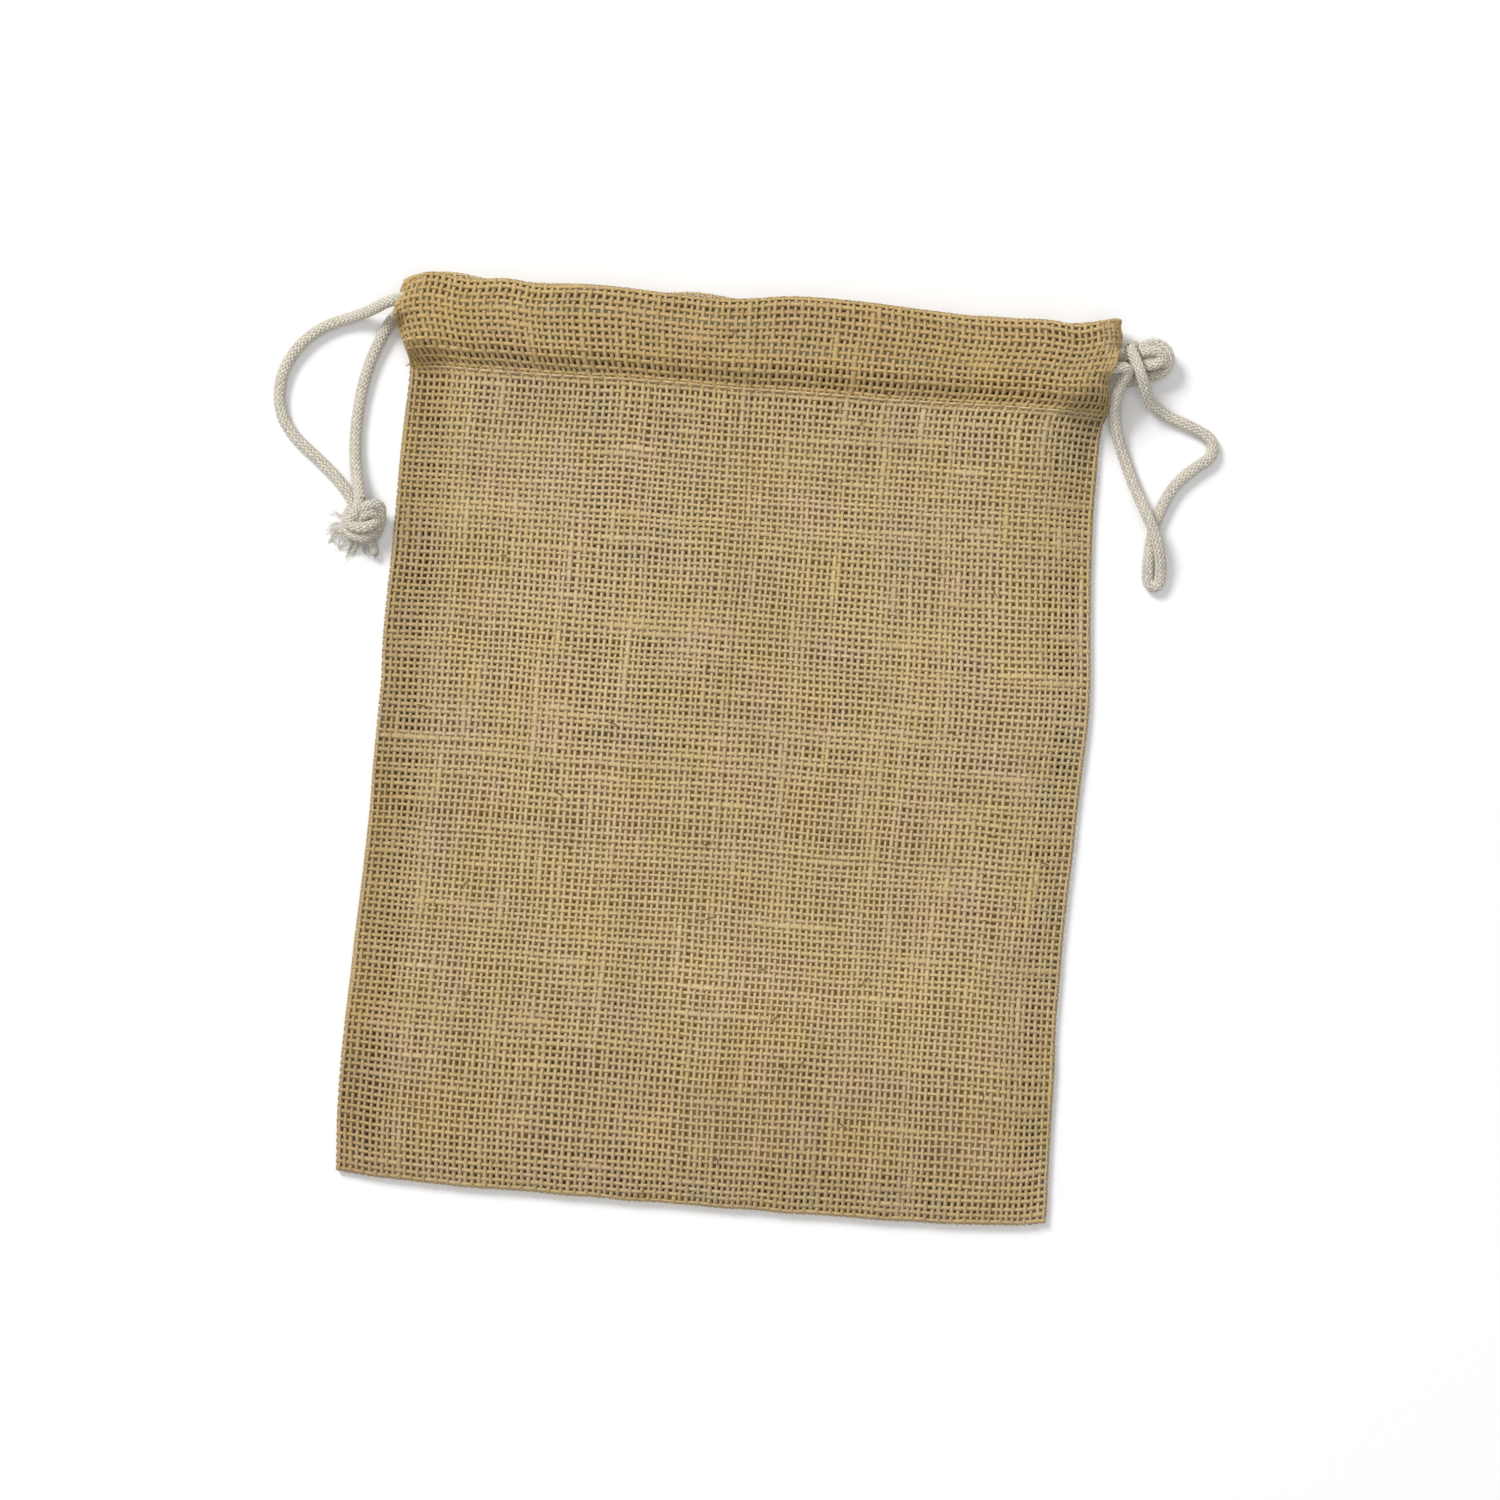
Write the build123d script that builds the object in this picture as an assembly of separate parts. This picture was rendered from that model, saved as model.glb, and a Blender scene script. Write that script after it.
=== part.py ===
from build123d import *
import math
import os

# Jute drawstring gift pouch lying on its back, in millimetres.
# +X runs across the pouch, +Y from the bottom seam to the mouth, +Z up off the table.
# The origin is on the table, under the middle of the pouch.

# Cloth
height = 250.0
cloth = 0.9
# Distance along the pouch and half its width there: full at the bottom and over the hem, with a slight waist
outline = [
    (-125.0, 98.6),
    (-121.5, 100.0),
    (-35.0, 98.2),
    (40.0, 97.2),
    (96.0, 97.0),
    (106.0, 100.0),
    (125.0, 100.0),
]

# Inside of the bag
seam_gap = 1.9
body_gap = 6.3
mouth_gap = 4.4
slope_length = 14.0
seam_allowance = 12.0
hem_depth = 26.0

# Cords
cord_d = 3.4
cord_clearance = 0.3
left_front_lane = 118.0
left_back_lane = 114.2
right_front_lane = 111.4
right_back_lane = 118.8
bight_start = 91.3
hem_layer_half = 89.0
fold_depth = 4.0
fold_drop = 2.2

# Thread
thread = 0.5
stitch_length = 3.2
stitch_pitch = 4.0
stitch_count = 47
stitch_rise = 0.35

# Levels and places worked out from the sizes above
mouth_y = height / 2
hem_edge_y = mouth_y - hem_depth
stitch_y = hem_edge_y + 1.3
channel = cord_d + 2 * cord_clearance
back_cord_z = cloth + cord_clearance + cord_d / 2
back_hem_z = cloth + channel
front_hem_z = back_hem_z + cloth + mouth_gap
front_hem_top = front_hem_z + cloth
front_cord_z = front_hem_top + cord_clearance + cord_d / 2
front_roof_z = front_hem_top + channel
edge_z = cloth + seam_gap
flat_z = cloth + body_gap
ramp_start_y = 60.0
hem_ramp = (hem_edge_y + 3.0, hem_edge_y + 8.5)
fold_y = mouth_y - fold_depth
floor_z = cord_d / 2 + 0.02

left_knot = (-105.4, 56.2)
right_knot = (110.9, 116.0)
knot_radius = 6.2
knot_height = 9.2
knot_crown_radius = 5.0
knot_foot_radius = 3.2
knot_bottom = 0.02

# Routes of the free cords, point by point from the channel's end to the knot
left_outer_route = [
    (-100.0, left_front_lane, front_cord_z),
    (-105.2, left_front_lane, front_cord_z),
    (-112.4, 113.2, 7.4),
    (-121.4, 109.6, floor_z),
    (-130.2, 101.2, floor_z),
    (-133.0, 87.6, floor_z),
    (-126.5, 76.6, floor_z),
    (-117.5, 69.6, floor_z),
    (-110.8, 63.4, 1.9),
    (-107.8, 60.2, 2.6),
]
left_inner_route = [
    (-96.5, left_back_lane, back_cord_z),
    (-100.9, left_back_lane, back_cord_z),
    (-104.8, 110.4, 2.4),
    (-107.6, 102.0, floor_z),
    (-109.9, 90.0, floor_z),
    (-110.2, 78.0, floor_z),
    (-108.3, 69.5, 3.2),
    (-106.4, 62.2, 6.6),
]
right_loop_route = [
    (95.5, right_front_lane, front_cord_z),
    (99.9, right_front_lane, front_cord_z),
    (103.0, 108.4, 11.4),
    (102.6, 102.4, 6.8),
    (103.8, 95.4, 3.0),
    (106.4, 87.4, floor_z),
    (109.8, 79.8, 2.4),
    (113.2, 73.2, 5.4),
    (116.4, 67.2, 5.8),
    (118.6, 60.6, 6.8),
    (118.6, 53.4, 7.2),
    (114.8, 53.5, floor_z),
    (114.2, 61.2, floor_z),
    (115.6, 69.4, floor_z),
    (118.4, 77.6, floor_z),
    (121.4, 83.0, floor_z),
    (125.6, 87.4, floor_z),
    (130.6, 91.2, floor_z),
    (130.3, 96.2, floor_z),
    (124.4, 99.4, floor_z),
    (116.6, 102.2, 1.9),
    (111.4, 105.2, 4.8),
    (109.4, 110.4, 9.8),
    (107.0, 115.6, 10.4),
    (106.0, 118.3, 7.0),
]
right_short_route = [
    (96.5, right_back_lane, back_cord_z),
    (101.0, right_back_lane, back_cord_z),
    (105.0, 117.0, 3.5),
]


def half_width(y):
    """Half the pouch's width at y, along the straight runs of the outline."""
    for (y0, w0), (y1, w1) in zip(outline, outline[1:]):
        if y0 <= y <= y1:
            return w0 + (w1 - w0) * (y - y0) / (y1 - y0)
    raise ValueError(y)


def face(points):
    return Face(Wire.make_polygon(points, close=True))


def slab(points, bottom, top):
    """A flat piece of cloth from its outline in XY."""
    return extrude(face([(x, y, bottom) for x, y in points]), amount=top - bottom, dir=(0, 0, 1))


def panel_section(y, edge, flat):
    """The front panel cut across at y: low at its edges, raised between them."""
    w = half_width(y)
    s = w - slope_length
    under = [(-w, edge), (-s, flat), (s, flat), (w, edge)]
    over = [(x, z + cloth) for x, z in reversed(under)]
    return face([(x, y, z) for x, z in under + over])


def across(profile, half):
    """A profile in YZ carried across the pouch, from -half to +half."""
    return extrude(face([(-half, y, z) for y, z in profile]), amount=2 * half, dir=(1, 0, 0))


def front_panel():
    body = loft(
        [
            panel_section(-height / 2, edge_z, edge_z),
            panel_section(-height / 2 + slope_length, edge_z, flat_z),
            panel_section(ramp_start_y, edge_z, flat_z),
            panel_section(hem_edge_y, front_hem_top, front_hem_top),
        ],
        ruled=True,
    )
    up0, up1 = hem_ramp
    casing = across(
        [
            (hem_edge_y, front_hem_top),
            (up0, front_hem_top),
            (up1, front_roof_z),
            (fold_y, front_roof_z),
            (mouth_y - cloth, front_roof_z - fold_drop),
            (mouth_y - cloth, front_hem_top),
            (mouth_y, front_hem_top),
            (mouth_y, front_roof_z - fold_drop + 0.5),
            (fold_y + 0.4, front_roof_z + cloth),
            (up1 - 0.3, front_roof_z + cloth),
            (up0 - 0.4, front_hem_top + cloth),
            (hem_edge_y, front_hem_top + cloth),
        ],
        half_width(mouth_y),
    )
    return body + casing


def back_panel():
    right = [(w, y) for y, w in outline]
    left = [(-w, y) for w, y in reversed(right)]
    return slab(right + left, 0, cloth)


def front_hem():
    profile = [
        (hem_edge_y, front_hem_z),
        (mouth_y, front_hem_z),
        (mouth_y, front_hem_top),
        (hem_edge_y, front_hem_top),
    ]
    return across(profile, hem_layer_half)


def back_hem():
    """The turned-down layer over the back channel, closed at the mouth by its fold."""
    up0, up1 = hem_ramp
    profile = [
        (hem_edge_y, cloth),
        (up0, cloth),
        (up1, back_hem_z),
        (mouth_y - cloth, back_hem_z),
        (mouth_y - cloth, cloth),
        (mouth_y, cloth),
        (mouth_y, back_hem_z + cloth),
        (up1 - 0.3, back_hem_z + cloth),
        (up0 - 0.4, 2 * cloth),
        (hem_edge_y, 2 * cloth),
    ]
    return across(profile, hem_layer_half)


def seam_strip(side, inset, depth, bottom, top):
    """A strip along one side seam, from inset to depth inside the outline."""
    ys = [-height / 2 + 3.0, -35.0, 40.0, hem_edge_y - 4.0]
    outer = [(side * (half_width(y) - inset), y) for y in ys]
    inner = [(side * (half_width(y) - depth), y) for y in reversed(ys)]
    return slab(outer + inner, bottom, top)


def turned_layers(make):
    """The two turned-in layers of a seam, one lying on the other."""
    middle = cloth + seam_gap / 2
    return [make(cloth + 0.05, middle - 0.03), make(middle + 0.03, edge_z - 0.05)]


def side_allowance(side):
    return turned_layers(lambda b, t: seam_strip(side, thread + 0.1, seam_allowance, b, t))


def bottom_allowance():
    half = half_width(-100.0) - seam_allowance - 0.5
    y0 = -height / 2 + thread + 0.1
    y1 = -height / 2 + seam_allowance
    rectangle = [(-half, y0), (half, y0), (half, y1), (-half, y1)]
    return turned_layers(lambda b, t: slab(rectangle, b, t))


def side_thread(side):
    middle = cloth + seam_gap / 2
    return [seam_strip(side, 0.0, thread, middle - thread / 2, middle + thread / 2)]


def bottom_thread():
    middle = cloth + seam_gap / 2
    half = half_width(-100.0) - seam_allowance
    y0 = -height / 2
    rectangle = [(-half, y0), (half, y0), (half, y0 + thread), (-half, y0 + thread)]
    return [slab(rectangle, middle - thread / 2, middle + thread / 2)]


def hem_stitches(level):
    """A row of stitches lying on the cloth at the given level."""
    first = -(stitch_count - 1) / 2 * stitch_pitch
    one = Pos(0, stitch_y, level + stitch_rise / 2) * Box(stitch_length, thread, stitch_rise)
    return [Pos(first + n * stitch_pitch, 0, 0) * one for n in range(stitch_count)]


def bend_radii(points):
    """The radius of each arc of a cord: as large as the two runs beside it allow."""
    radii = []
    for a, b, c in zip(points, points[1:], points[2:]):
        before, after = Vector(*b) - Vector(*a), Vector(*c) - Vector(*b)
        half_turn = math.radians(before.get_angle(after)) / 2
        radii.append(0.45 * min(before.length, after.length) / math.tan(half_turn))
    return radii


def tube(path, start, towards):
    section = Plane(origin=start, z_dir=Vector(*towards) - Vector(*start)) * Circle(cord_d / 2)
    return sweep(section, path=path)


def free_cord(name, points):
    radii = bend_radii(points)
    path = FilletPolyline(*points, radius=radii)
    solid = tube(path, points[0], points[1])
    expected = math.pi * cord_d**2 / 4 * path.length
    print(f"{name}: length {path.length:.1f}, radii {[round(r, 1) for r in radii]}")
    print(f"{name}: volume {solid.volume:.1f}, section times length {expected:.1f}")
    return solid


def straight_cord(start, end):
    return tube(Line(start, end), start, end)


def held_cord(side, front, back, front_end, back_end):
    """The cord inside the hem: out along the front channel, round the far side, back along the other."""
    turn_x = side * bight_start
    a, b = Vector(turn_x, front, front_cord_z), Vector(turn_x, back, back_cord_z)
    apex = (a + b) * 0.5 + Vector(side * (a - b).length / 2, 0, 0)
    bight = tube(ThreePointArc(a, apex, b), a, a + Vector(side, 0, 0))
    front_run = straight_cord((front_end, front, front_cord_z), tuple(a))
    back_run = straight_cord((back_end, back, back_cord_z), tuple(b))
    return front_run, back_run, bight


def knot(center):
    """The overhand knot's outer shape: a squat ball, flat where it rests on the table."""
    drum = Cylinder(knot_radius, knot_height, align=(Align.CENTER, Align.CENTER, Align.MIN))
    rims = drum.edges().filter_by(GeomType.CIRCLE).sort_by(Axis.Z)
    drum = fillet(rims[-1], knot_crown_radius)
    rims = drum.edges().filter_by(GeomType.CIRCLE).sort_by(Axis.Z)
    return Pos(*center, knot_bottom) * fillet(rims[0], knot_foot_radius)


def frayed_ends(points, top, beside):
    """The fan of loose yarns past a knot, cut where it meets the knot."""
    return slab(points, 0.1, top) - beside


left_cord = held_cord(1, left_front_lane, left_back_lane, -100.0, -96.5)
right_cord = held_cord(-1, right_front_lane, right_back_lane, 95.5, 96.5)
left_knot_solid = knot(left_knot)
right_knot_solid = knot(right_knot)

left_fan = [
    (-111.5, 53.0),
    (-116.0, 50.6),
    (-115.0, 46.6),
    (-110.0, 43.2),
    (-103.6, 44.0),
    (-101.4, 48.6),
    (-103.0, 51.0),
]
right_fan = [(103.4, 109.2), (107.6, 108.6), (109.6, 111.4), (106.8, 112.6), (103.6, 111.6)]
fan_top = 3.2

nodes = {
    "front_panel": [front_panel()],
    "back_panel": [back_panel()],
    "front_hem": [front_hem()],
    "back_hem": [back_hem()],
    "left_seam_allowance": side_allowance(-1),
    "right_seam_allowance": side_allowance(1),
    "bottom_seam_allowance": bottom_allowance(),
    "left_seam_thread": side_thread(-1),
    "right_seam_thread": side_thread(1),
    "bottom_seam_thread": bottom_thread(),
    "front_hem_stitches": hem_stitches(front_hem_top + cloth),
    "back_hem_stitches": hem_stitches(2 * cloth),
    "left_cord_front_run": [left_cord[0]],
    "left_cord_back_run": [left_cord[1]],
    "left_cord_bight": [left_cord[2]],
    "left_cord_outer_strand": [free_cord("left outer strand", left_outer_route)],
    "left_cord_inner_strand": [free_cord("left inner strand", left_inner_route)],
    "left_cord_knot": [left_knot_solid],
    "left_cord_frayed_ends": [frayed_ends(left_fan, fan_top, left_knot_solid)],
    "right_cord_front_run": [right_cord[0]],
    "right_cord_back_run": [right_cord[1]],
    "right_cord_bight": [right_cord[2]],
    "right_cord_loop_strand": [free_cord("right loop strand", right_loop_route)],
    "right_cord_short_strand": [free_cord("right short strand", right_short_route)],
    "right_cord_knot": [right_knot_solid],
    "right_cord_frayed_ends": [frayed_ends(right_fan, fan_top, right_knot_solid)],
}

os.makedirs("parts", exist_ok=True)
for name, solids in nodes.items():
    shape = solids[0] if len(solids) == 1 else Compound(children=solids)
    shape.label = name
    export_step(shape, f"parts/{name}.step")
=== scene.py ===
import math

import bpy
import numpy as np
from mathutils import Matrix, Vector


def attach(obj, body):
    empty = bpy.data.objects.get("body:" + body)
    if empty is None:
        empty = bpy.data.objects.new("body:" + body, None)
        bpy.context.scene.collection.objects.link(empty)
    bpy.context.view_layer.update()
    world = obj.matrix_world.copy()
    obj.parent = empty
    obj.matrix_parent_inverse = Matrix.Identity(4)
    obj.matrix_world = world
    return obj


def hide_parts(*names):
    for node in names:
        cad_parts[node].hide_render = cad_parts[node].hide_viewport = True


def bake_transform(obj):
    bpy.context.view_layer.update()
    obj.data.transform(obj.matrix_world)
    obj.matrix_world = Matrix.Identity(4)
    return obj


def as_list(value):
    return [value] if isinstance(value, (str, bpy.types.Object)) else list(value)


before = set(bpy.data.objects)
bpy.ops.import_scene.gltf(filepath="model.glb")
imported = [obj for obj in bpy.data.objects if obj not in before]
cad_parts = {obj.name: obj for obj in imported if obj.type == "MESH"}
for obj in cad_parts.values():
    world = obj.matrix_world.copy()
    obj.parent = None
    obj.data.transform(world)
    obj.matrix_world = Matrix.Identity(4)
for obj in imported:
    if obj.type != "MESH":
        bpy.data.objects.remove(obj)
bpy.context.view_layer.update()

# Jute drawstring pouch lying on its back. Lengths are in millimetres until a mesh is made.
MM = 0.001
SEED = 20261

# Sizes and places taken over from the CAD model
HALF_W = 100.0
HALF_H = 125.0
STITCH_Y = 100.3
CORD_D = 3.4
FRONT_CORD_Z = 13.1
BACK_CORD_Z = 2.9
FLOOR_Z = CORD_D / 2 + 0.02
FRONT_LANE = {-1: 118.0, 1: 111.4}
BACK_LANE = {-1: 114.2, 1: 118.8}
BIGHT_START = 91.3
HEM_LAYER_HALF = 89.0

# The two sides, -1 and 1: the cord pulled at each, and its name
PULL = {-1: "left_drawcord", 1: "right_drawcord"}
SIDE = {-1: "left", 1: "right"}

# Weave: pitch of the rows, number of upright threads, how far threads rise and sink, half the height and
# width of their section, how much wider they are in the back and the hem, and the height of a crossing
WEFT_PITCH = 1.87
WARP_COUNT = 116
CRIMP = 0.13
YARN_HALF_H = 0.21
WARP_HALF_W = 0.555
WEFT_HALF_W = 0.60
BACK_WIDER = 1.08
HEM_WIDER = 1.06
LAYER_STEP = 2 * (YARN_HALF_H + CRIMP)

# Height above the table of the middle of the cloth: the back, the front in its flat middle, at the seams,
# at the stitches and over the channel, the two turned-in hem layers, and where front and back meet at a side
BACK_Z = 0.53
FLAT_Z = 7.6
SEAM_Z = 2.6
PINCH_Z = 11.6
ROOF_Z = 15.5
FRONT_LAYER_Z = 10.65
BACK_LAYER_Z = 5.35
SIDE_MEET_Z = 8.0

# Along the cloth: the turn at a seam, the front's slope up from it, how far the hem's round side stands out
# and how much cloth it takes, the fold at the mouth, the layer turned in past it, and the stitches
EDGE_ROLL = 1.0
SLOPE = 14.0
BULGE = 8.7
WRAP = 13.0
FOLD_R = 2.45
FOLD_T = HALF_H - FOLD_R
HEM_DEPTH = 23.0
STITCH_PITCH = 4.0

# Where each cord leaves the side of the hem
FRONT_EXIT = {-1: 117.6, 1: 113.2}
BACK_EXIT = {-1: 115.2, 1: 118.4}

# Where each panel parts into a lower piece and a piece for each side above
SHOULDER_Y = -30.0

# How far in from each side the front panel lies flat on the turned-in seam
SEAM_BAND = {-1: 5.0, 1: 2.0}

# The front: how far it turns down at the seams, how deep the stitches draw it in, between which rows it
# rises into the hem, and how far under the roof it opens over a cord
ROLL_DEPTH = 0.9
PUCKER_DEPTH = 0.35
HEM_STARTS, HEM_FULL = 101.5, 108.0
HOOD_DROP = 0.6

# The back: how far it turns up at the seams, the height its hem opens to over a cord, and how far under
# the front it meets it at a side
BACK_ROLL = 0.7
BACK_HOOD_Z = 1.0
BACK_UNDER = 0.9


# ---------------------------------------------------------------- small maths

def smooth(a, b, x):
    u = np.clip((x - a) / (b - a), 0.0, 1.0)
    return u * u * (3.0 - 2.0 * u)


def noise(x, y, seed):
    """Smooth value noise from -1 to 1."""
    xi, yi = np.floor(x), np.floor(y)
    u, v = x - xi, y - yi
    u, v = u * u * (3 - 2 * u), v * v * (3 - 2 * v)

    def corner(i, j):
        n = np.sin(i * 127.1 + j * 311.7 + seed * 74.7) * 43758.5453
        return (n - np.floor(n)) * 2 - 1

    low = corner(xi, yi) * (1 - u) + corner(xi + 1, yi) * u
    high = corner(xi, yi + 1) * (1 - u) + corner(xi + 1, yi + 1) * u
    return low * (1 - v) + high * v


def unit(v):
    return v / np.maximum(np.linalg.norm(v, axis=-1, keepdims=True), 1e-9)


def through(points, x):
    """A soft line through given (x, value) points."""
    xs, vs = np.array(points).T
    x = np.clip(x, xs[0], xs[-1])
    i = np.clip(np.searchsorted(xs, x, side="right") - 1, 0, len(xs) - 2)
    u = (x - xs[i]) / (xs[i + 1] - xs[i])
    slope = np.gradient(vs, xs)
    step = xs[i + 1] - xs[i]
    a, b = vs[i], vs[i + 1]
    ma, mb = slope[i] * step, slope[i + 1] * step
    return ((2 * u**3 - 3 * u**2 + 1) * a + (u**3 - 2 * u**2 + u) * ma
            + (3 * u**2 - 2 * u**3) * b + (u**3 - u**2) * mb)


# ---------------------------------------------------------------- meshes

def mesh_piece(name, parts, material):
    """One mesh from several (verts, quads, uvs, tints) parts, in millimetres."""
    verts = np.concatenate([p[0] for p in parts])
    offsets = np.cumsum([0] + [len(p[0]) for p in parts[:-1]])
    quads = np.concatenate([p[1] + o for p, o in zip(parts, offsets)])
    uvs = np.concatenate([p[2] for p in parts])
    tints = np.concatenate([p[3] for p in parts])
    me = bpy.data.meshes.new(name)
    me.vertices.add(len(verts))
    me.vertices.foreach_set("co", (verts * MM).astype(np.float32).ravel())
    me.loops.add(len(quads) * 4)
    me.loops.foreach_set("vertex_index", quads.astype(np.int32).ravel())
    me.polygons.add(len(quads))
    me.polygons.foreach_set("loop_start", np.arange(0, len(quads) * 4, 4, dtype=np.int32))
    me.polygons.foreach_set("use_smooth", np.ones(len(quads), bool))
    me.update(calc_edges=True)
    layer = me.uv_layers.new(name="Yarn")
    layer.data.foreach_set("uv", uvs.astype(np.float32).ravel())
    tint = me.color_attributes.new("tint", "FLOAT_COLOR", "POINT")
    rgba = np.concatenate([tints, np.ones((len(tints), 1))], axis=1)
    tint.data.foreach_set("color", rgba.astype(np.float32).ravel())
    me.materials.append(material)
    obj = bpy.data.objects.new(name, me)
    bpy.context.scene.collection.objects.link(obj)
    return obj


def tubes(C, B, N, w, h, k, tint, start=0.0):
    """Closed yarns: n lines of m points C, each with its side B and upward N, half width w and half
    height h, k points round."""
    n, m = w.shape
    turn = np.arange(k) * 2 * np.pi / k
    side = (w[..., None] * np.cos(turn))[..., None] * B[:, :, None]
    rise = (h[..., None] * np.sin(turn))[..., None] * N[:, :, None]
    verts = (C[:, :, None] + side + rise).reshape(-1, 3)
    index = np.arange(n * m * k).reshape(n, m, k)
    a, b = index[:, :-1], index[:, 1:]
    quads = np.stack([a, np.roll(a, -1, 2), np.roll(b, -1, 2), b], -1).reshape(-1, 4)
    steps = np.linalg.norm(np.diff(C, axis=1), axis=2)
    length = np.concatenate([np.zeros((n, 1)), np.cumsum(steps, axis=1)], axis=1)
    length = length + np.broadcast_to(start, (n,))[:, None]
    u0 = np.repeat(length[:, :-1, None], k, 2)
    u1 = np.repeat(length[:, 1:, None], k, 2)
    v0 = np.broadcast_to(np.arange(k) / k, u0.shape)
    v1 = v0 + 1 / k
    uvs = np.stack([np.stack(uv, -1) for uv in ((u0, v0), (u0, v1), (u1, v1), (u1, v0))], -2)
    uvs = uvs.reshape(-1, 2)
    caps = []
    for j in range(1, k - 2, 2):
        caps.append(index[:, -1][:, [0, j, j + 1, j + 2]])
        caps.append(index[:, 0][:, [j + 2, j + 1, j, 0]])
    caps = np.concatenate(caps)
    cap_uvs = np.zeros((len(caps) * 4, 2))
    tints = np.repeat(tint.reshape(n * m, 3), k, 0)
    return verts, np.concatenate([quads, caps]), np.concatenate([uvs, cap_uvs]), tints


# ---------------------------------------------------------------- materials

def principled(name, roughness, specular, sheen=0.0):
    mat = bpy.data.materials.new(name)
    mat.use_nodes = True
    bsdf = mat.node_tree.nodes["Principled BSDF"]
    bsdf.inputs["Roughness"].default_value = roughness
    bsdf.inputs["Specular IOR Level"].default_value = specular
    bsdf.inputs["Sheen Weight"].default_value = sheen
    bsdf.inputs["Sheen Roughness"].default_value = 0.5
    bsdf.inputs["Sheen Tint"].default_value = (1, 1, 1, 1)
    return mat, mat.node_tree, bsdf


# Turns of a fibre round its yarn in a millimetre, and how deep it stands, in metres
FIBRE_TWIST = 0.55
FIBRE_RELIEF = 0.00012


def yarn_material(name, plain, streak, fine, bump, roughness, specular, sheen):
    """Spun yarn: its colour per thread, with fibres that run along it at the twist's angle."""
    mat, tree, bsdf = principled(name, roughness, specular, sheen)
    nodes, links = tree.nodes, tree.links
    bsdf.inputs["Base Color"].default_value = (*plain, 1)
    uv = nodes.new("ShaderNodeUVMap")
    uv.uv_map = "Yarn"
    split = nodes.new("ShaderNodeSeparateXYZ")
    links.new(uv.outputs["UV"], split.inputs[0])
    twist = nodes.new("ShaderNodeMath")
    twist.operation = "MULTIPLY_ADD"
    twist.inputs[1].default_value = -FIBRE_TWIST
    links.new(split.outputs["X"], twist.inputs[0])
    links.new(split.outputs["Y"], twist.inputs[2])
    joined = nodes.new("ShaderNodeCombineXYZ")
    scaled = nodes.new("ShaderNodeMath")
    scaled.operation = "MULTIPLY"
    scaled.inputs[1].default_value = streak
    links.new(split.outputs["X"], scaled.inputs[0])
    across = nodes.new("ShaderNodeMath")
    across.operation = "MULTIPLY"
    across.inputs[1].default_value = fine
    links.new(twist.outputs[0], across.inputs[0])
    links.new(scaled.outputs[0], joined.inputs[0])
    links.new(across.outputs[0], joined.inputs[1])
    fibre = nodes.new("ShaderNodeTexNoise")
    fibre.inputs["Scale"].default_value = 1.0
    fibre.inputs["Detail"].default_value = 3.0
    fibre.inputs["Roughness"].default_value = 0.6
    links.new(joined.outputs[0], fibre.inputs["Vector"])
    shade = nodes.new("ShaderNodeMapRange")
    shade.inputs["From Min"].default_value = 0.3
    shade.inputs["From Max"].default_value = 0.7
    shade.inputs["To Min"].default_value = 0.84
    shade.inputs["To Max"].default_value = 1.12
    links.new(fibre.outputs["Fac"], shade.inputs["Value"])
    tint = nodes.new("ShaderNodeVertexColor")
    tint.layer_name = "tint"
    mixed = nodes.new("ShaderNodeMix")
    mixed.data_type = "RGBA"
    mixed.blend_type = "MULTIPLY"
    mixed.inputs["Factor"].default_value = 1.0
    links.new(tint.outputs["Color"], mixed.inputs[6])
    links.new(shade.outputs["Result"], mixed.inputs[7])
    links.new(mixed.outputs[2], bsdf.inputs["Base Color"])
    rough = nodes.new("ShaderNodeMapRange")
    rough.inputs["To Min"].default_value = roughness - 0.08
    rough.inputs["To Max"].default_value = min(roughness + 0.06, 1.0)
    links.new(fibre.outputs["Fac"], rough.inputs["Value"])
    links.new(rough.outputs["Result"], bsdf.inputs["Roughness"])
    height = nodes.new("ShaderNodeBump")
    height.inputs["Strength"].default_value = bump
    height.inputs["Distance"].default_value = FIBRE_RELIEF
    links.new(fibre.outputs["Fac"], height.inputs["Height"])
    links.new(height.outputs["Normal"], bsdf.inputs["Normal"])
    return mat


JUTE_RGB = np.array([0.491, 0.372, 0.188])
COTTON_RGB = np.array([0.565, 0.525, 0.440])
THREAD_RGB = np.array([0.520, 0.398, 0.208])
jute = yarn_material("jute_yarn", JUTE_RGB, 0.45, 5.0, 0.55, 0.88, 0.22, 0.10)
cotton = yarn_material("cotton_braid", COTTON_RGB, 0.6, 5.0, 0.45, 0.9, 0.25, 0.15)
sewing = yarn_material("sewing_thread", THREAD_RGB, 1.2, 3.0, 0.4, 0.7, 0.35, 0.10)


# ---------------------------------------------------------------- camera, light, floor

PICTURE_WIDTH = 419.6
CAMERA_TURN = 4.2
CAMERA_AIM = (7.0, -0.3)
CAMERA_HEIGHT = 1500.0
SENSOR = 36.0

camera_data = bpy.data.cameras.new("camera")
camera_data.sensor_width = SENSOR
camera_data.lens = SENSOR * CAMERA_HEIGHT / PICTURE_WIDTH
camera = bpy.data.objects.new("camera", camera_data)
camera.location = (CAMERA_AIM[0] * MM, CAMERA_AIM[1] * MM, (CAMERA_HEIGHT + FLAT_Z) * MM)
camera.rotation_euler = (0, 0, math.radians(CAMERA_TURN))
camera_data.clip_start, camera_data.clip_end = 0.05, 20.0
bpy.context.scene.collection.objects.link(camera)
bpy.context.scene.camera = camera
bpy.context.scene.view_settings.view_transform = "Standard"


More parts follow.
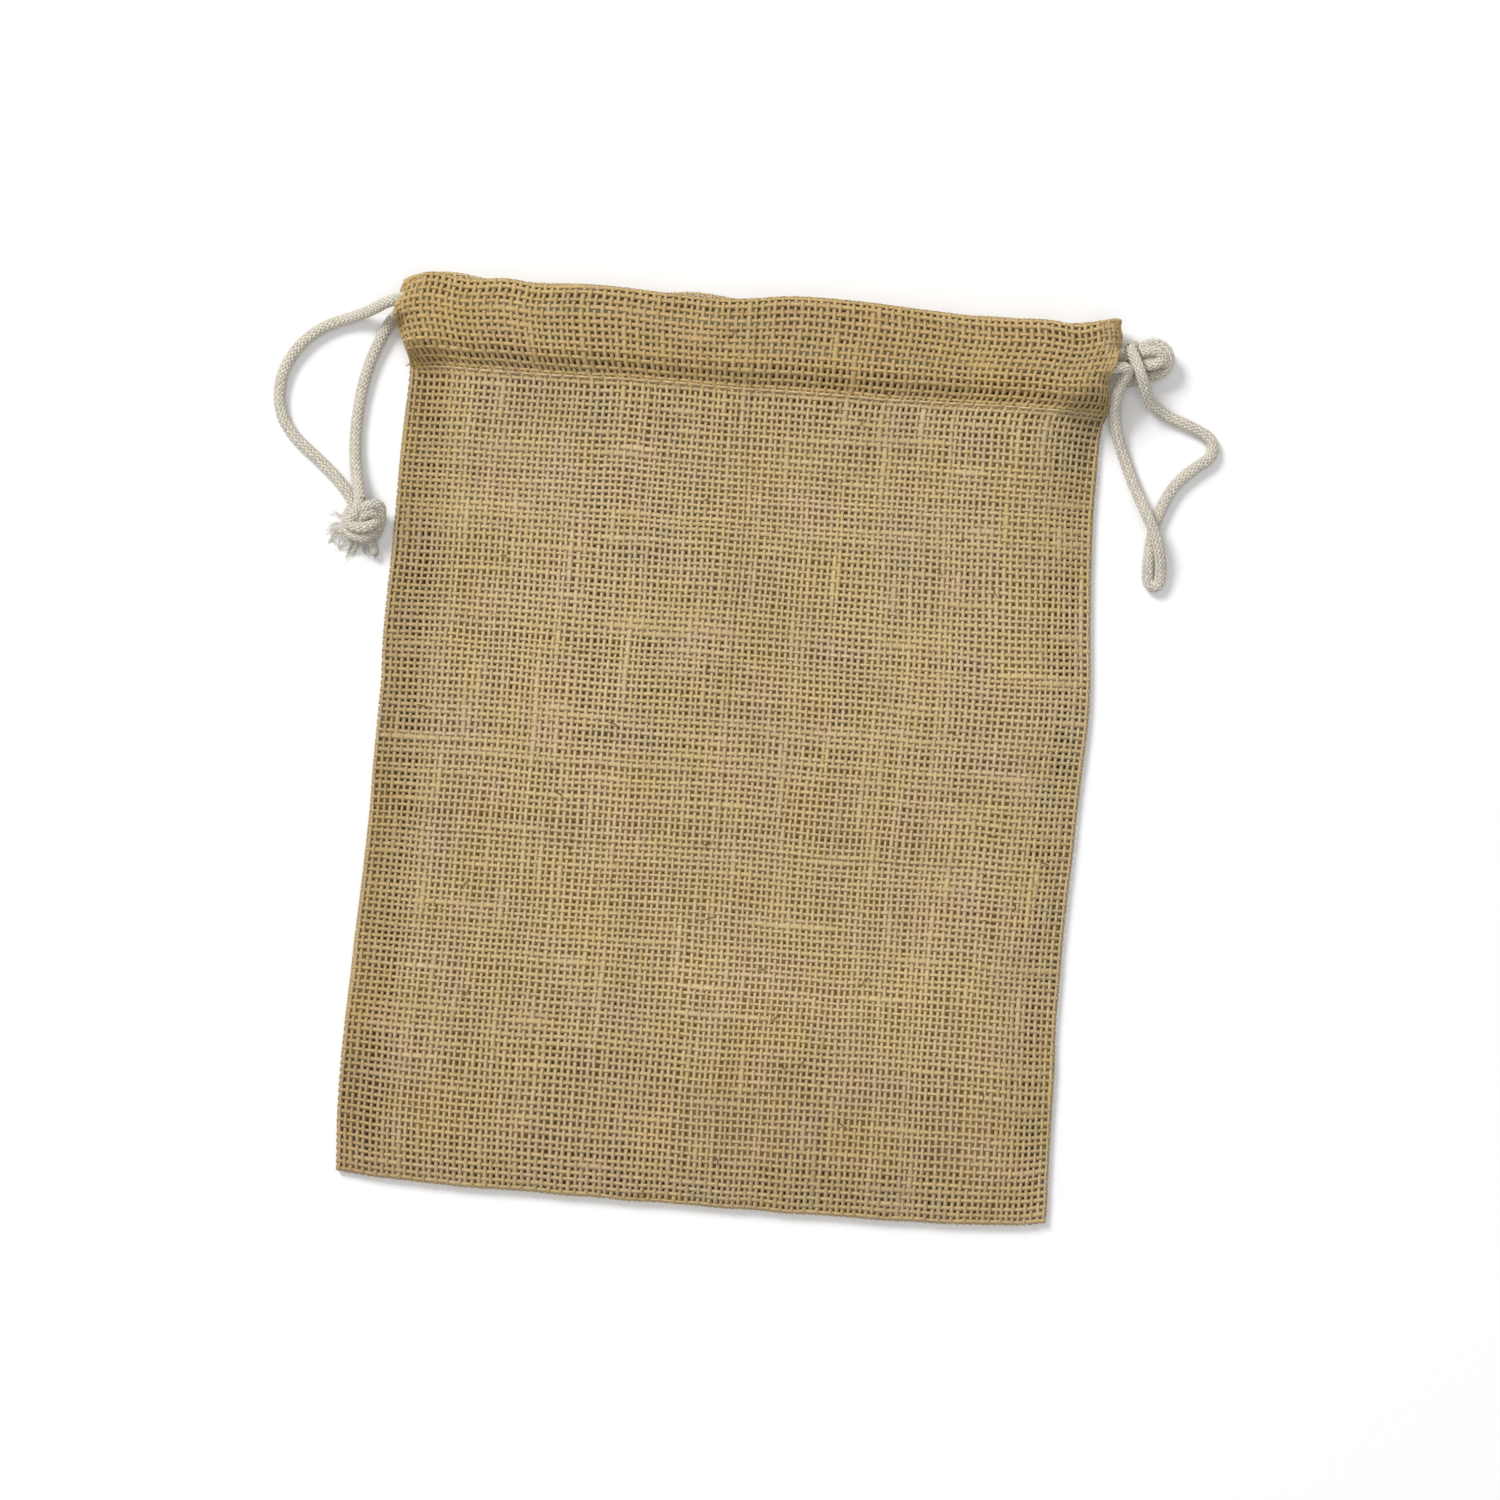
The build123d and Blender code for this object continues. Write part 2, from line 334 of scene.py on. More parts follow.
def area_light(name, place, size, power):
    """A round white lamp at a place, aimed at the middle of the floor. Metres and watts."""
    data = bpy.data.lights.new(name, "AREA")
    data.shape = "DISK"
    data.size, data.energy = size, power
    lamp = bpy.data.objects.new(name, data)
    lamp.location = place
    lamp.rotation_euler = (-Vector(place)).to_track_quat("-Z", "Y").to_euler()
    bpy.context.scene.collection.objects.link(lamp)


area_light("key", (-2.6, 2.95, 3.3), 1.8, 228.0)
area_light("top", (0.2, -0.2, 4.2), 3.0, 52.0)
world = bpy.data.worlds.new("studio")
world.use_nodes = True
world.node_tree.nodes["Background"].inputs["Color"].default_value = (1, 1, 1, 1)
world.node_tree.nodes["Background"].inputs["Strength"].default_value = 0.46
bpy.context.scene.world = world

floor_mesh = bpy.data.meshes.new("floor")
FLOOR_HALF = 3.0
corners = [(x * FLOOR_HALF, y * FLOOR_HALF, 0) for x, y in ((-1, -1), (1, -1), (1, 1), (-1, 1))]
floor_mesh.from_pydata(corners, [], [(0, 1, 2, 3)])
floor = bpy.data.objects.new("floor", floor_mesh)
floor_mat, _, floor_bsdf = principled("floor_paper", 0.9, 0.1)
floor_bsdf.inputs["Base Color"].default_value = (0.82, 0.82, 0.825, 1)
floor_mesh.materials.append(floor_mat)
bpy.context.scene.collection.objects.link(floor)


# ---------------------------------------------------------------- cords

ROUTES = {
    "left_outer": [
        (-97.5, 118.6, FRONT_CORD_Z), (-102.4, 117.5, 12.4), (-107.0, 115.1, 6.5), (-112.5, 113.0, FLOOR_Z),
        (-121.4, 109.6, FLOOR_Z), (-128.0, 103.6, FLOOR_Z), (-132.0, 95.8, FLOOR_Z), (-132.3, 86.6, FLOOR_Z),
        (-128.6, 79.2, FLOOR_Z), (-119.8, 72.4, FLOOR_Z), (-112.2, 65.6, 1.9), (-108.4, 60.0, 2.6),
    ],
    "left_inner": [
        (-96.5, 115.8, BACK_CORD_Z), (-100.9, 115.2, 2.6), (-104.1, 109.2, 2.0),
        (-107.4, 101.0, FLOOR_Z), (-109.4, 91.5, FLOOR_Z), (-110.1, 80.5, FLOOR_Z),
        (-109.4, 70.8, 3.0), (-107.0, 61.7, 6.6),
    ],
    "right_loop": [
        (95.5, 112.6, FRONT_CORD_Z), (101.2, 113.9, 12.8), (105.2, 113.4, 11.2),
        (102.7, 109.4, 9.2), (101.8, 104.4, 6.8), (102.3, 98.8, 4.0), (104.1, 93.2, 2.3),
        (106.7, 86.9, FLOOR_Z), (109.7, 80.3, 2.4), (113.2, 73.4, 5.6), (116.3, 67.0, 6.0),
        (118.2, 60.6, 3.4), (118.3, 53.8, 1.8), (114.8, 53.8, FLOOR_Z), (114.7, 61.8, FLOOR_Z),
        (115.3, 69.8, FLOOR_Z),
        (118.0, 78.2, FLOOR_Z), (121.2, 83.5, FLOOR_Z), (125.6, 87.6, FLOOR_Z),
        (130.6, 91.2, FLOOR_Z), (130.3, 96.2, FLOOR_Z), (124.4, 99.1, FLOOR_Z),
        (116.6, 101.7, 1.9), (111.5, 104.6, 4.8), (109.2, 110.0, 9.8), (106.8, 115.4, 10.6),
        (104.8, 119.6, 7.6),
    ],
    "right_short": [(96.5, 118.8, BACK_CORD_Z), (101.0, 118.8, BACK_CORD_Z), (105.0, 117.0, 3.5)],
}


def spline_points(points):
    """The NURBS spline with these control points, in millimetres."""
    curve = bpy.data.curves.new("route", "CURVE")
    curve.dimensions = "3D"
    curve.resolution_u = 24
    spline = curve.splines.new("NURBS")
    spline.points.add(len(points) - 1)
    for p, q in zip(spline.points, points):
        p.co = (*q, 1.0)
    spline.order_u = 3
    spline.use_endpoint_u = True
    obj = bpy.data.objects.new("route", curve)
    line = bpy.data.meshes.new_from_object(obj)
    found = np.array([v.co for v in line.vertices], float)
    bpy.data.objects.remove(obj)
    bpy.data.curves.remove(curve)
    bpy.data.meshes.remove(line)
    return found


def even(points, step):
    """The same line with points about step apart."""
    points = np.asarray(points, float)
    along = np.concatenate([[0], np.cumsum(np.linalg.norm(np.diff(points, axis=0), axis=1))])
    count = max(int(round(along[-1] / step)), 2) + 1
    at = np.linspace(0, along[-1], count)
    return np.stack([np.interp(at, along, points[:, i]) for i in range(3)], 1), at


def frames(line):
    """Side and upward directions carried along a line without twisting."""
    t = unit(np.gradient(line, axis=0))
    n = np.array([0.0, 0.0, 1.0])
    ups = []
    for direction in t:
        n = n - direction * (n @ direction)
        n = n / np.linalg.norm(n)
        ups.append(n)
    ups = np.array(ups)
    return np.cross(ups, t), ups


# Painted shade, dark brown, on the cord from this far inside the hem, past what the two pulls bring out
CHANNEL_SHADE_FROM = (96.0, 106.0)
CHANNEL_PAINTED_SHADE = np.array([0.42, 0.55, 0.72])

# The braid: plaits each way, length of one turn, radius, how far plaits rise and sink, size of a plait,
# how far inside the plaits the core lies, its darkening as painted shade between the plaits, and the step
# between points outside and inside the hem
BRAID_PLAITS = 8
BRAID_TURN = 12.0
BRAID_R = 1.42
BRAID_WAVE = 0.10
STRAND_HALF_W = 0.50
STRAND_HALF_H = 0.18
CORE_INSET = 0.12
CORE_PAINTED_SHADE = 0.8
BRAID_STEP = 0.25
HIDDEN_STEP = 0.375


def braid(points, step=BRAID_STEP, seed=0, scale=1.0, hidden=None):
    """A round braid along a line, with its core, as parts of a mesh. hidden is how far inside the hem
    it starts, or None for a cord outside it."""
    line, at = even(points, step)
    side, up = frames(line)
    rng = np.random.default_rng(SEED + seed)
    wave = 2 * np.pi * at / BRAID_TURN
    # Painted shade: the cord turns dark brown deep inside the hem's channel
    channel_shade = 0 * at if hidden is None else smooth(*CHANNEL_SHADE_FROM, hidden + at)
    colour = COTTON_RGB * (1 - channel_shade[:, None] * CHANNEL_PAINTED_SHADE)
    C, B, N, W, H, tint = [], [], [], [], [], []
    for direction in (-1, 1):
        lift = direction * BRAID_WAVE * np.cos(BRAID_PLAITS * wave)
        for plait in range(BRAID_PLAITS):
            angle = direction * wave + 2 * np.pi * plait / BRAID_PLAITS
            out = np.cos(angle)[:, None] * side + np.sin(angle)[:, None] * up
            centre = line + out * ((BRAID_R + lift) * scale)[:, None]
            run = unit(np.gradient(centre, axis=0))
            out = unit(out - run * (out * run).sum(1, keepdims=True))
            C.append(centre)
            N.append(out)
            B.append(np.cross(out, run))
            fat = 1 + 0.08 * noise(at / 3.0, np.full_like(at, plait * 3.7 + direction), seed)
            W.append(STRAND_HALF_W * scale * fat)
            H.append(STRAND_HALF_H * scale * fat)
            tone = 1 + 0.05 * rng.standard_normal()
            tone = tone + 0.05 * noise(at / 5.0, np.full_like(at, plait * 9.1), seed + 3)
            warm = 0.02 * rng.standard_normal()
            shade = colour * tone[:, None] * np.array([1 + warm, 1, 1 - 1.5 * warm])
            tint.append(shade)
    starts = rng.uniform(0, 400, 2 * BRAID_PLAITS)
    plaits = tubes(*(np.array(values) for values in (C, B, N, W, H)), 4, np.array(tint), starts)
    # The core is coloured darker, as painted shade in the gaps between the plaits
    core = np.full((1, len(at)), (BRAID_R - CORE_INSET) * scale)
    return [plaits, tubes(line[None], side[None], up[None], core, core, 4, (colour * CORE_PAINTED_SHADE)[None])]


FREE = {
    "left_outer": ("left_cord_outer_strand", -1),
    "left_inner": ("left_cord_inner_strand", -1),
    "right_loop": ("right_cord_loop_strand", 1),
    "right_short": ("right_cord_short_strand", 1),
}
free_pieces, free_lines = {}, {}
for number, (route, (node, side)) in enumerate(FREE.items()):
    line = spline_points(ROUTES[route])
    free_lines[route] = line
    piece = mesh_piece(node + "_braid", braid(line, seed=number), cotton)
    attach(piece, PULL[side])
    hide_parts(node)
    free_pieces[route] = piece

# The cord inside the hem: in along the front channel, round the far side, back along the other. It joins
# its lane at the channel's mouth
CHANNEL_MOUTH = HEM_LAYER_HALF + 3.0
BIGHT_DEPTH = 2 * HALF_W
FRONT_ROUTE = {-1: "left_outer", 1: "right_loop"}
BACK_ROUTE = {-1: "left_inner", 1: "right_short"}
for side in (-1, 1):
    turn_x = -side * BIGHT_START
    a = np.array([turn_x, FRONT_LANE[side], FRONT_CORD_Z])
    b = np.array([turn_x, BACK_LANE[side], BACK_CORD_Z])
    runs = {
        "front_run": spline_points([free_lines[FRONT_ROUTE[side]][0], (side * CHANNEL_MOUTH, a[1], a[2]), a]),
        "back_run": np.array([free_lines[BACK_ROUTE[side]][0], b]),
    }
    middle, reach = (a + b) / 2, np.linalg.norm(a - b) / 2
    sweep = np.linspace(0, np.pi, 40)[:, None]
    runs["bight"] = middle + (a - middle) * np.cos(sweep) + np.array([-side * reach, 0, 0]) * np.sin(sweep)
    for number, (part, line) in enumerate(runs.items()):
        node = f"{SIDE[side]}_cord_{part}"
        hidden = BIGHT_DEPTH if part == "bight" else 0.0
        parts = braid(line, HIDDEN_STEP, seed=20 + number + 5 * side, hidden=hidden)
        piece = mesh_piece(node + "_braid", parts, cotton)
        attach(piece, PULL[side])
        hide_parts(node)


# ---------------------------------------------------------------- cloth surfaces

LEFT_EDGE = [
    (-127.0, 100.2), (-112.0, 101.0), (-44.0, 99.0), (34.0, 97.6), (84.0, 96.6), (97.0, 95.9),
    (103.0, 96.1), (108.0, 98.0), (113.0, 99.9), (118.5, 100.8), (127.0, 98.4),
]
RIGHT_EDGE = [
    (-127.0, 99.4), (-110.0, 99.2), (-72.0, 98.6), (-34.0, 99.0), (-9.0, 100.2), (16.0, 101.2), (40.0, 99.9),
    (82.0, 98.4), (95.0, 98.8), (102.0, 100.2), (109.0, 99.3), (114.0, 100.8), (119.5, 102.1), (127.0, 99.8),
]
FRONT_TOP = [
    (-100, -4.4), (-96, -2.0), (-88, 0.8), (-77, -0.2), (-68, 0.7), (-58, -0.3), (-46, 0.6), (-30, 0.3),
    (-10, -0.5), (10, 1.5), (28, 1.4), (46, 0.4), (62, -0.3), (76, 0.2), (84, -0.4), (92, 1.9), (100, 2.2),
]
BACK_TOP = [
    (-100, -4.2), (-94, -0.3), (-84, 2.2), (-72, 1.2), (-60, 0.9), (-44, 1.5), (-30, 0.7), (-16, 1.6),
    (-2, 0.5), (14, 1.4), (32, 2.2), (50, 0.8), (66, 0.9), (80, 0.1), (91, 2.0), (100, 2.5),
]
BOTTOM = [
    (-100, -1.6), (-82, -2.9), (-40, -3.7), (10, -4.1), (55, -4.1), (85, -3.4), (94, -2.8), (100, -1.6),
]


def side_turn(s):
    """How far the hem's cloth has turned round the side at s: nothing until WRAP from the side, a right
    angle at the side."""
    return np.clip(1 - (HALF_W - np.abs(s)) / WRAP, 0, 1) * np.pi / 2


def flat_place(s, t, top):
    """Where cloth point (s, t) lies across the table."""
    left, right = through(LEFT_EDGE, t), through(RIGHT_EDGE, t)
    turn = side_turn(s)
    inner_part = np.abs(s) * (HALF_W - BULGE) / (HALF_W - WRAP)
    wrapped = np.where(turn > 0, HALF_W - BULGE + BULGE * np.sin(turn), inner_part)
    across = np.abs(s) + (wrapped - np.abs(s)) * smooth(97.0, 107.0, t)
    x = np.sign(s) * across / HALF_W * np.where(s < 0, left, right)
    # The stitches draw the rows together
    drawn = 0.30 * np.exp(0.5) * (t - STITCH_Y) * np.exp(-((t - STITCH_Y) / 3.0) ** 2 / 2)
    x = x + 0.35 * noise(s / 23, t / 31, 11) + 0.18 * noise(s / 8, t / 12, 12)
    y = t - drawn + through(top, s) * smooth(96, HALF_H, t)
    y = y + through(BOTTOM, s) * (1 - smooth(-HALF_H, -75, t))
    middle = smooth(-HALF_H, -95, t) * (1 - smooth(95, 115, t))
    y = y + 0.5 * noise(s / 34, t / 40, 13) * middle + 0.18 * noise(s / 9, t / 14, 14)
    return x, y


def edge_gap(s, t):
    return HALF_W - np.abs(s)


def band_gap(s, t):
    """Distance in from the flat band over the side seam."""
    return np.maximum(edge_gap(s, t) - np.where(s < 0, SEAM_BAND[-1], SEAM_BAND[1]), 0)


def roll(s, t):
    """1 where the cloth turns over at the side seams and the bottom seam, 0 from EDGE_ROLL inside them."""
    return 1 - smooth(0, EDGE_ROLL, edge_gap(s, t)) * smooth(0, EDGE_ROLL, t + HALF_H)


def exit_hood(s, t, lane):
    """1 where the channel's end opens over a cord, about the cord's thickness to each side of its lane,
    and 0 elsewhere along the side."""
    y = np.where(s < 0, lane[-1], lane[1])
    return np.exp(-(((t - y) / CORD_D) ** 4))


def front_top_z(s, t):
    body = 1 - (1 - np.clip(band_gap(s, t) / SLOPE, 0, 1)) ** 1.5
    low = 1 - (1 - np.clip((t + HALF_H) / SLOPE, 0, 1)) ** 1.5
    flat = FLAT_Z + (PINCH_Z - FLAT_Z) * smooth(62, 100, t)
    flat = flat + 0.45 * noise(s / 36, t / 44, 21) + 0.22 * noise(s / 13, t / 17, 22)
    z_body = SEAM_Z + (flat - SEAM_Z) * body * low - ROLL_DEPTH * roll(s, t)
    drawn_in = 0.6 + 0.4 * np.cos(2 * np.pi * s / STITCH_PITCH)
    pucker = PUCKER_DEPTH * np.exp(-((t - STITCH_Y) / 1.6) ** 2) * drawn_in
    roof = ROOF_Z + 0.35 * noise(s / 21, t / 30, 23)
    meet = SIDE_MEET_Z + (ROOF_Z - HOOD_DROP - SIDE_MEET_Z) * exit_hood(s, t, FRONT_EXIT)
    z_hem = meet + (roof - meet) * np.cos(side_turn(s))
    return z_body + (z_hem - z_body) * smooth(HEM_STARTS, HEM_FULL, t) - pucker * body


def front_surface(s, t):
    turn = np.clip((t - FOLD_T) / FOLD_R, 0, np.pi)
    past = np.maximum(t - FOLD_T - np.pi * FOLD_R, 0)
    x, y = flat_place(s, np.minimum(t, FOLD_T) - past, FRONT_TOP)
    z = front_top_z(s, np.minimum(t, FOLD_T))
    layer_z = np.minimum(FRONT_LAYER_Z, front_top_z(s, FOLD_T - past) - 1.3 * LAYER_STEP)
    middle = (z + layer_z) / 2
    z = middle + (z - middle) * np.cos(turn)
    sagging = 0.2 * (noise(s / 25, t / 20, 24) - 1) * smooth(0, 4, past)
    return np.stack([x, y + FOLD_R * np.sin(turn), z + sagging], -1)


def back_surface(s, t):
    x, y = flat_place(s, np.minimum(t, FOLD_T), BACK_TOP)
    tc = np.minimum(t, FOLD_T)
    low = BACK_Z + 0.05 * (1 + noise(s / 30, t / 30, 31))
    meet = SIDE_MEET_Z - BACK_UNDER - (SIDE_MEET_Z - BACK_UNDER - BACK_HOOD_Z) * exit_hood(s, tc, BACK_EXIT)
    z = low + (meet - low) * (1 - np.cos(side_turn(s))) * smooth(97.0, 106.0, tc)
    z = z + BACK_ROLL * roll(s, tc) * (1 - smooth(90.0, 100.0, tc))
    turn = np.clip((t - FOLD_T) / FOLD_R, 0, np.pi)
    past = np.maximum(t - FOLD_T - np.pi * FOLD_R, 0)
    layer_z = BACK_LAYER_Z - (BACK_LAYER_Z - 1.5) * smooth(15.0, 21.0, past)
    middle = (z + layer_z) / 2
    z = middle + (z - middle) * np.cos(turn)
    return np.stack([x, y + FOLD_R * np.sin(turn) - past, z], -1)


# ---------------------------------------------------------------- weaving

rng = np.random.default_rng(SEED)
ROWS_TO_HEM = int(math.ceil((HALF_H + FOLD_T + np.pi * FOLD_R + HEM_DEPTH) / WEFT_PITCH))


def spacing(count, pitch, start, wander):
    gaps = pitch * (1 + wander * rng.standard_normal(count))
    places = np.cumsum(gaps)
    places = (places - places[0]) * (pitch * (count - 1)) / (places[-1] - places[0])
    return start + pitch / 2 + places


LAYERS = {}
for layer in ("front", "back"):
    LAYERS[layer] = {
        "s": spacing(WARP_COUNT, 2 * HALF_W / WARP_COUNT, -HALF_W, 0.07),
        "t": spacing(ROWS_TO_HEM, WEFT_PITCH, -HALF_H, 0.07),
        "warp_fat": rng.standard_normal(WARP_COUNT),
        "weft_fat": rng.standard_normal(ROWS_TO_HEM),
        "warp_tone": rng.standard_normal((WARP_COUNT, 2)),
        "weft_tone": rng.standard_normal((ROWS_TO_HEM, 2)),
        "warp_start": rng.uniform(0, 900, WARP_COUNT),
        "weft_start": rng.uniform(0, 900, ROWS_TO_HEM),
    }


def half_steps(places, lo, hi):
    """Places of crossings lo to hi, and halfway between them, with half a step at both ends."""
    at = np.arange(2 * lo - 1, 2 * hi) / 2
    whole = np.arange(len(places))
    out = np.interp(at, whole, places)
    out = np.where(at < 0, places[0] + at * (places[1] - places[0]), out)
    last = len(places) - 1
    return np.where(at > last, places[last] + (at - last) * (places[last] - places[last - 1]), out), at


def jute_tint(s, t, along, tone, index, seed):
    """Thread colour: its own tone, streaks along it and the blotches of the whole cloth."""
    value = 1 + 0.036 * tone[:, :1] + 0.05 * noise(along / 5.0 + index * 17.3, index * 3.1 + seed, 41)
    value = value + 0.06 * noise(along / 1.9 + index * 7.7, index * 5.3 + seed, 42)
    value = value + 0.05 * noise(s / 30, t / 34, 43) + 0.04 * noise(s / 8, t / 9, 47)
    warm = 0.014 * tone[:, 1:] + 0.035 * noise(s / 11, t / 13, 44) + 0.026 * noise(s / 4.5, t / 5, 48)
    warm = warm + 0.025 * noise(along / 8.0 + index * 5.1, index * 1.7, 45)
    pink = 0.045 * np.clip(noise(s / 9, t / 10, 46) - 0.1, 0, 1)
    colour = np.stack([1 + 0.35 * warm + pink, 1 + 0 * warm, 1 - 1.9 * warm + 2.4 * pink], -1)
    return np.clip(JUTE_RGB * colour * value[..., None], 0.02, 0.95)


def deeper_gold(s, t):
    """The front's deeper gold in the folded hem, down the left seam and towards the bottom."""
    hem = smooth(95.0, 104.0, t)[..., None]
    left = (1 - smooth(-92.0, -80.0, s))[..., None] * (1 - 0.7 * hem)
    low = (1 - smooth(-112.0, -60.0, t))[..., None]
    return (1 - hem * [0.07, 0.13, 0.26]) * (1 - left * [0.15, 0.19, 0.26]) * (1 - low * [0.08, 0.10, 0.11])


# Painted light: how much brighter than the front the parts seen through its holes are coloured, standing in
# for light
# that reaches them too little: the inside of the back, and the turned-in layers
BACK_PAINTED_LIGHT = np.array([1.56, 1.36, 0.76])
INNER_PAINTED_LIGHT = np.array([1.44, 1.27, 0.76])

# Distance between the points that give a surface its slope
NEAR = 0.05


def slubs(along, index, seed):
    """Thick places in a thread."""
    n = noise(along / 16.0 + index * 31.7, index * 11.3 + seed, 51)
    return 0.75 * np.clip(n - 0.55, 0, 1) / 0.45


def weave(surface, layer, warp, weft, inner=False):
    """The threads of one piece of cloth, as (verts, quads, uvs, tints) parts."""
    data = LAYERS[layer]
    seed = {"front": 1.0, "back": 6.0}[layer]
    wander = {"front": 0.7, "back": 0.45}[layer]
    parts = []
    for kind in ("warp", "weft"):
        own, other = ("s", "t") if kind == "warp" else ("t", "s")
        (lo, hi), (olo, ohi) = (warp, weft) if kind == "warp" else (weft, warp)
        index = np.arange(lo, hi)[:, None].astype(float)
        along, at = half_steps(data[other], olo, ohi)
        own_place = data[own][lo:hi][:, None]
        along = np.broadcast_to(along, (hi - lo, len(at)))
        own_place = own_place + 0.22 * wander * noise(along / 17.0, index * 2.3 + seed, 61)
        own_place = own_place + 0.12 * wander * noise(along / 3.2, index * 4.9 + seed, 62)
        s, t = (own_place, along) if kind == "warp" else (along, own_place)
        C = surface(s, t)
        ds, dt = surface(s + NEAR, t) - C, surface(s, t + NEAR) - C
        N = unit(np.cross(ds, dt))
        run = unit(dt if kind == "warp" else ds)
        B = np.cross(N, run)
        over = np.where((at * 2) % 2 == 0, np.where((at + index) % 2 == 0, 1.0, -1.0), 0.0)
        over = over if kind == "warp" else -over
        C = C + N * (CRIMP * over * (1 + 0.12 * noise(along / 3.0, index, 63)))[..., None]
        half = WARP_HALF_W if kind == "warp" else WEFT_HALF_W
        fat = 1 + 0.12 * wander * data[kind + "_fat"][lo:hi][:, None]
        fat = fat + 0.15 * wander * noise(along / 6.0, index * 1.9 + seed, 64)
        fat = fat + 0.12 * wander * noise(along / 1.7, index * 2.9 + seed, 65) + slubs(along, index, seed)
        fat = np.clip(fat + 0.09 * noise(s / 17, t / 21, 66), 0.6, 1.9)
        # 1 where the inside of the back is seen through the front's holes: there its threads are wider and
        # get painted light
        inside = 0.0 * s
        if layer == "back" and not inner:
            inside = smooth(0.0, 7.0, edge_gap(s, t)) * (1 - smooth(112.0, 120.0, t))
        w = half * fat * (1 + (BACK_WIDER - 1) * inside)
        if layer == "front" and not inner:
            w = w * (1 + (HEM_WIDER - 1) * smooth(103.0, 108.0, t))
        h = YARN_HALF_H * (0.5 + 0.5 * fat)
        tone = data[kind + "_tone"][lo:hi]
        tint = jute_tint(s, t, along, tone, index, seed + (0 if kind == "warp" else 3))
        if inner:
            # 1 for the layers out of the light, which are given painted light, 0 for the mouth's fold
            deep = np.where(t < FOLD_T, 1.0, smooth(FOLD_T + 12.0, FOLD_T + 18.0, t))[..., None]
            tint = np.clip(tint * (deeper_gold(s, t) * (1 - deep) + INNER_PAINTED_LIGHT * deep), 0, 0.95)
        elif layer == "front":
            tint = tint * deeper_gold(s, t)
        else:
            # Painted light on the inside of the back, brighter where the front's holes show it
            tint = np.clip(tint * (1 + (BACK_PAINTED_LIGHT - 1) * inside[..., None]), 0, 0.95)
        parts.append(tubes(C, B, N, w, h, 4, tint, data[kind + "_start"][lo:hi]))
    return parts


def row_at(t):
    return int(round((t + HALF_H) / WEFT_PITCH))


def column_at(s):
    return int(round((s + HALF_W) / (2 * HALF_W / WARP_COUNT)))


def gather(piece):
    """Bakes the piece's place into its mesh."""
    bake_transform(piece)


MIDDLE = WARP_COUNT // 2
SHOULDER_ROW = row_at(SHOULDER_Y)
FOLD_ROW = row_at(FOLD_T + np.pi / 2 * FOLD_R)
for layer, surface in (("front", front_surface), ("back", back_surface)):
    panel = f"{layer}_panel"
    lower = mesh_piece(f"{panel}_lower", weave(surface, layer, (0, WARP_COUNT), (0, SHOULDER_ROW)), jute)
    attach(lower, "pouch")
    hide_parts(panel)
    for side, columns in ((-1, (0, MIDDLE)), (1, (MIDDLE, WARP_COUNT))):
        threads = weave(surface, layer, columns, (SHOULDER_ROW, FOLD_ROW))
        upper = mesh_piece(f"{panel}_{SIDE[side]}", threads, jute)
        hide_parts(panel)
        gather(upper)
        hem_end = column_at(side * HEM_LAYER_HALF)
        hem_columns = (min(hem_end, MIDDLE), max(hem_end, MIDDLE))
        threads = weave(surface, layer, hem_columns, (FOLD_ROW, ROWS_TO_HEM), inner=layer == "front")
        hem = mesh_piece(f"{layer}_hem_{SIDE[side]}", threads, jute)
        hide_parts(f"{layer}_hem")
        gather(hem)


# ---------------------------------------------------------------- seams and stitches

# How far in from a seam its upper turned-in layer hangs under the front panel: past the flat band at
# the sides, from the edge at the bottom
SIDE_HOLD = 2.0
BOTTOM_HOLD = 2.5
HOLD_FADES = 4.0


def turned_surface(level, gap_of, hold_of):
    """A turned-in layer of a seam, between the panels: level 0 lies on the back panel, level 1 hangs
    under the front panel as far in as hold_of says and then drops."""
    def surface(s, t):
        x, y = flat_place(s, t, FRONT_TOP)
        gap = gap_of(s, t)
        low = BACK_Z + LAYER_STEP * (1 + level)
        if level == 1:
            drop = smooth(hold_of(s), hold_of(s) + HOLD_FADES, gap)
            low = low + (np.maximum(front_top_z(s, t) - LAYER_STEP, low) - low) * (1 - drop)
        return np.stack([x, y, low + 0.06 * noise(s / 5, t / 9, 70 + level)], -1)
    return surface


def side_hold(s):
    return np.where(s < 0, SEAM_BAND[-1], SEAM_BAND[1]) + SIDE_HOLD


def bottom_hold(s):
    return np.full_like(s, BOTTOM_HOLD)


def bottom_gap(s, t):
    return t + HALF_H


def stitch_row(ends, rise, radius, tint):
    """Stitches as arcs of thread: ends is an array of (start, end) points, each arc lifted by rise
    between them."""
    ends = np.asarray(ends, float)
    u = np.linspace(0, 1, 9)
    line = ends[:, :1] + (ends[:, 1:] - ends[:, :1]) * u[None, :, None]
    line[..., 2] += rise * (np.sin(np.pi * u) ** 0.5)[None] - 0.35 * rise
    run = unit(np.gradient(line, axis=1))
    up = np.broadcast_to(np.array([0.0, 0.0, 1.0]), run.shape)
    side = unit(np.cross(up, run))
    up = np.cross(run, side)
    shape = line.shape[:2]
    width = np.full(shape, radius) * (0.55 + 0.45 * np.sin(np.pi * u))[None]
    tint = np.broadcast_to(tint * (1 + 0.08 * rng.standard_normal((shape[0], 1, 1))), (*shape, 3))
    return tubes(line, side, up, width, width * 0.85, 6, tint, rng.uniform(0, 300, shape[0]))


